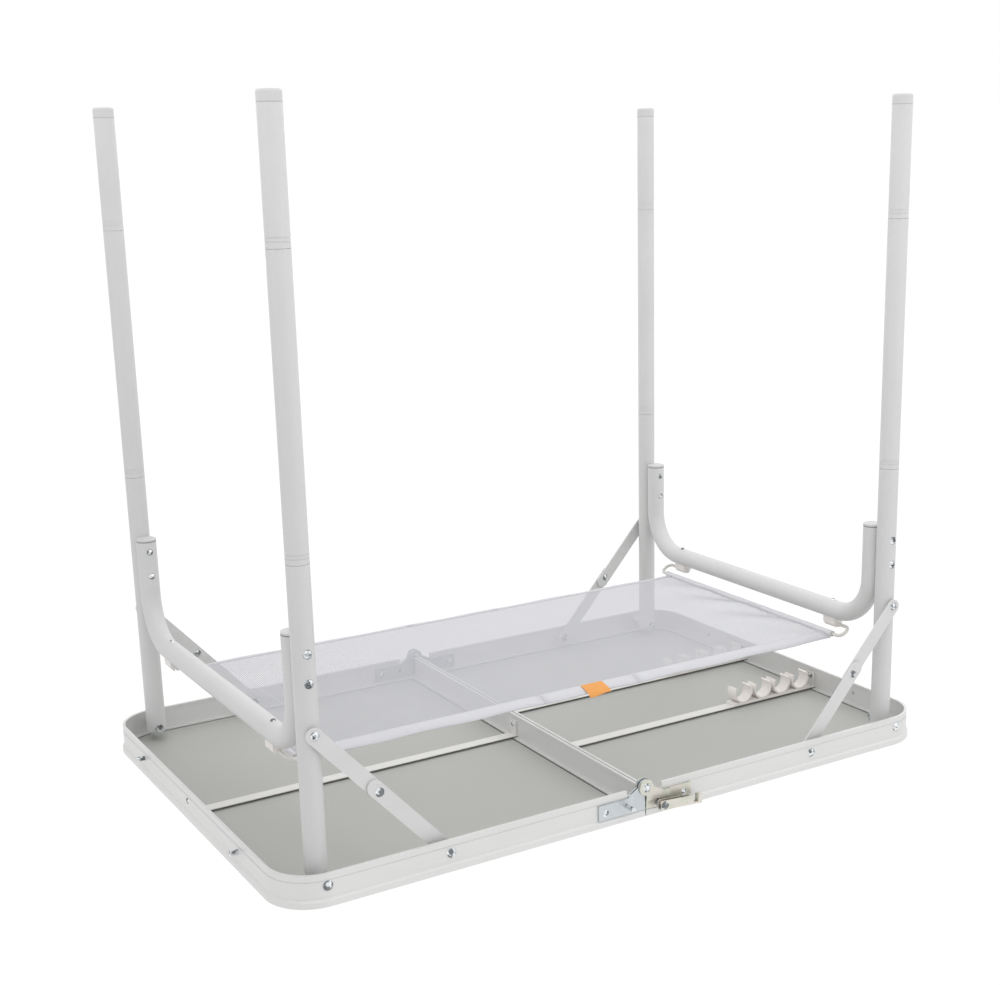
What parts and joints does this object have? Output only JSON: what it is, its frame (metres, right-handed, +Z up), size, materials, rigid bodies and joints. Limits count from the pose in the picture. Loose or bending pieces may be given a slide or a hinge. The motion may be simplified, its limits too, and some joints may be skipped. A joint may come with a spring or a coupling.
{
  "type": "folding camping table",
  "caption": "Folding camping table: case-style tabletop hinged in the middle, folding leg frames with stays, plug-in leg tubes and a net shelf under the top",
  "frame": {"origin": "on the floor, under the middle of the table", "axes": "+X along the table's long side towards the half with the catch studs, +Y to the back, +Z up"},
  "size_m": [0.8122, 0.5542, 0.724],
  "materials": {
    "rail": "satin anodised",
    "board": "matte laminate on fibreboard",
    "slat": "satin mill finish",
    "clip": "moulded",
    "zinc_yellow": "zinc plated, warm tint",
    "zinc_blue": "zinc plated, cool tint",
    "steel": "plated",
    "bush": "moulded",
    "plug": "moulded",
    "leg": "white powder coat",
    "stay": "pale coat",
    "foot": "moulded",
    "shelf_hook": "moulded",
    "wire": "plated",
    "net": "polyester mesh"
  },
  "bodies": {
    "half_left": {"rim_left": "rail", "centre_rail_left": "rail", "board_left": "board", "slats_left": "slat", "clip_strip_front": "clip", "clip_strip_back": "clip", "hinge_plates_left": "zinc_yellow", "hinge_pins": "steel", "rivets_left": "steel", "rail_bolts_left": "steel", "leg_spacers_left": "bush", "shelf_net": "net"},
    "half_right": {"rim_right": "rail", "centre_rail_right": "rail", "board_right": "board", "slat_right": "slat", "hinge_plates_right": "zinc_blue", "catch_studs": "steel", "rivets_right": "steel", "rail_bolts_right": "steel", "leg_spacers_right": "bush"},
    "leg_frame_left": {"upper_leg_left_front": "leg", "upper_leg_left_back": "leg", "tube_plugs_left": "plug", "cross_bar_left": "leg", "frame_screws_left": "steel", "shelf_hooks_left": "shelf_hook"},
    "wire_left": {"shelf_wire_left": "wire"},
    "stay_lower_left_front": {"stay_lower_left_front": "stay"},
    "stay_upper_left_front": {"stay_upper_left_front": "stay"},
    "tube_left_front": {"leg_tube_left_front": "leg"},
    "foot_left_front": {"foot_tube_left_front": "leg", "foot_cap_left_front": "foot"},
    "stay_lower_left_back": {"stay_lower_left_back": "stay"},
    "stay_upper_left_back": {"stay_upper_left_back": "stay"},
    "tube_left_back": {"leg_tube_left_back": "leg"},
    "foot_left_back": {"foot_tube_left_back": "leg", "foot_cap_left_back": "foot"},
    "leg_frame_right": {"upper_leg_right_front": "leg", "upper_leg_right_back": "leg", "tube_plugs_right": "plug", "cross_bar_right": "leg", "frame_screws_right": "steel", "shelf_hooks_right": "shelf_hook"},
    "wire_right": {"shelf_wire_right": "wire"},
    "stay_lower_right_front": {"stay_lower_right_front": "stay"},
    "stay_upper_right_front": {"stay_upper_right_front": "stay"},
    "tube_right_front": {"leg_tube_right_front": "leg"},
    "foot_right_front": {"foot_tube_right_front": "leg", "foot_cap_right_front": "foot"},
    "stay_lower_right_back": {"stay_lower_right_back": "stay"},
    "stay_upper_right_back": {"stay_upper_right_back": "stay"},
    "tube_right_back": {"leg_tube_right_back": "leg"},
    "foot_right_back": {"foot_tube_right_back": "leg", "foot_cap_right_back": "foot"},
    "hook_hinge_front": {"hook_latch_front": "zinc_yellow"},
    "hook_end_front": {"end_hook_front": "zinc_yellow"},
    "hook_hinge_back": {"hook_latch_back": "zinc_yellow"},
    "hook_end_back": {"end_hook_back": "zinc_yellow"}
  },
  "joints": [
    {"name": "fold_table", "type": "hinge", "parent": "half_left", "child": "half_right", "pos_m": [0, 0, 0.691], "axis": [0, -1, 0], "range_deg": [-50, 0], "deforming": ["shelf_net"]},
    {"name": "fold_leg_left", "type": "hinge", "parent": "half_left", "child": "leg_frame_left", "pos_m": [-0.355, 0, 0.703], "axis": [0, -1, 0], "range_deg": [0, 82], "deforming": ["shelf_net"]},
    {"name": "swing_wire_left", "type": "hinge", "parent": "leg_frame_left", "child": "wire_left", "pos_m": [-0.355, 0, 0.6045], "axis": [0, -1, 0], "range_deg": [-41.5, 0.5]},
    {"name": "turn_stay_lower_left_front", "type": "hinge", "parent": "half_left", "child": "stay_lower_left_front", "pos_m": [-0.2265, -0.252, 0.7048], "axis": [0, -1, 0], "range_deg": [-0.5, 129.16]},
    {"name": "turn_stay_upper_left_front", "type": "hinge", "parent": "leg_frame_left", "child": "stay_upper_left_front", "pos_m": [-0.355, -0.2496, 0.561], "axis": [0, -1, 0], "range_deg": [-120.58, 0.5]},
    {"name": "pull_tube_left_front", "type": "slide", "parent": "leg_frame_left", "child": "tube_left_front", "axis": [0, 0, -1], "range_m": [0, 0.2]},
    {"name": "pull_foot_left_front", "type": "slide", "parent": "tube_left_front", "child": "foot_left_front", "axis": [0, 0, -1], "range_m": [0, 0.06]},
    {"name": "turn_stay_lower_left_back", "type": "hinge", "parent": "half_left", "child": "stay_lower_left_back", "pos_m": [-0.2265, 0.252, 0.7048], "axis": [0, -1, 0], "range_deg": [-0.5, 129.16]},
    {"name": "turn_stay_upper_left_back", "type": "hinge", "parent": "leg_frame_left", "child": "stay_upper_left_back", "pos_m": [-0.355, 0.2496, 0.561], "axis": [0, -1, 0], "range_deg": [-120.58, 0.5]},
    {"name": "pull_tube_left_back", "type": "slide", "parent": "leg_frame_left", "child": "tube_left_back", "axis": [0, 0, -1], "range_m": [0, 0.2]},
    {"name": "pull_foot_left_back", "type": "slide", "parent": "tube_left_back", "child": "foot_left_back", "axis": [0, 0, -1], "range_m": [0, 0.06]},
    {"name": "fold_leg_right", "type": "hinge", "parent": "half_right", "child": "leg_frame_right", "pos_m": [0.355, 0, 0.703], "axis": [0, 1, 0], "range_deg": [0, 82], "deforming": ["shelf_net"]},
    {"name": "swing_wire_right", "type": "hinge", "parent": "leg_frame_right", "child": "wire_right", "pos_m": [0.355, 0, 0.6045], "axis": [0, 1, 0], "range_deg": [-41.5, 0.5]},
    {"name": "turn_stay_lower_right_front", "type": "hinge", "parent": "half_right", "child": "stay_lower_right_front", "pos_m": [0.2265, -0.252, 0.7048], "axis": [0, 1, 0], "range_deg": [-0.5, 129.16]},
    {"name": "turn_stay_upper_right_front", "type": "hinge", "parent": "leg_frame_right", "child": "stay_upper_right_front", "pos_m": [0.355, -0.2496, 0.561], "axis": [0, 1, 0], "range_deg": [-120.58, 0.5]},
    {"name": "pull_tube_right_front", "type": "slide", "parent": "leg_frame_right", "child": "tube_right_front", "axis": [0, 0, -1], "range_m": [0, 0.2]},
    {"name": "pull_foot_right_front", "type": "slide", "parent": "tube_right_front", "child": "foot_right_front", "axis": [0, 0, -1], "range_m": [0, 0.06]},
    {"name": "turn_stay_lower_right_back", "type": "hinge", "parent": "half_right", "child": "stay_lower_right_back", "pos_m": [0.2265, 0.252, 0.7048], "axis": [0, 1, 0], "range_deg": [-0.5, 129.16]},
    {"name": "turn_stay_upper_right_back", "type": "hinge", "parent": "leg_frame_right", "child": "stay_upper_right_back", "pos_m": [0.355, 0.2496, 0.561], "axis": [0, 1, 0], "range_deg": [-120.58, 0.5]},
    {"name": "pull_tube_right_back", "type": "slide", "parent": "leg_frame_right", "child": "tube_right_back", "axis": [0, 0, -1], "range_m": [0, 0.2]},
    {"name": "pull_foot_right_back", "type": "slide", "parent": "tube_right_back", "child": "foot_right_back", "axis": [0, 0, -1], "range_m": [0, 0.06]},
    {"name": "hook_hinge_front", "type": "hinge", "parent": "half_left", "child": "hook_hinge_front", "pos_m": [-0.017, -0.2723, 0.7114], "axis": [0, -1, 0], "range_deg": [0, 177]},
    {"name": "hook_end_front", "type": "hinge", "parent": "half_left", "child": "hook_end_front", "pos_m": [-0.402, -0.145, 0.704], "axis": [-1, 0, 0], "range_deg": [0, 90]},
    {"name": "hook_hinge_back", "type": "hinge", "parent": "half_left", "child": "hook_hinge_back", "pos_m": [-0.017, 0.2723, 0.7114], "axis": [0, -1, 0], "range_deg": [0, 177]},
    {"name": "hook_end_back", "type": "hinge", "parent": "half_left", "child": "hook_end_back", "pos_m": [-0.402, 0.145, 0.704], "axis": [1, 0, 0], "range_deg": [0, 90]}
  ],
  "couplings": [
    {"joint": "swing_wire_left", "follows": "fold_leg_left", "ratio": -0.5},
    {"joint": "turn_stay_lower_left_front", "follows": "fold_leg_left", "ratio": 1.5691},
    {"joint": "turn_stay_upper_left_front", "follows": "fold_leg_left", "ratio": -1.4644},
    {"joint": "turn_stay_lower_left_back", "follows": "fold_leg_left", "ratio": 1.5691},
    {"joint": "turn_stay_upper_left_back", "follows": "fold_leg_left", "ratio": -1.4644},
    {"joint": "swing_wire_right", "follows": "fold_leg_right", "ratio": -0.5},
    {"joint": "turn_stay_lower_right_front", "follows": "fold_leg_right", "ratio": 1.5691},
    {"joint": "turn_stay_upper_right_front", "follows": "fold_leg_right", "ratio": -1.4644},
    {"joint": "turn_stay_lower_right_back", "follows": "fold_leg_right", "ratio": 1.5691},
    {"joint": "turn_stay_upper_right_back", "follows": "fold_leg_right", "ratio": -1.4644}
  ]
}
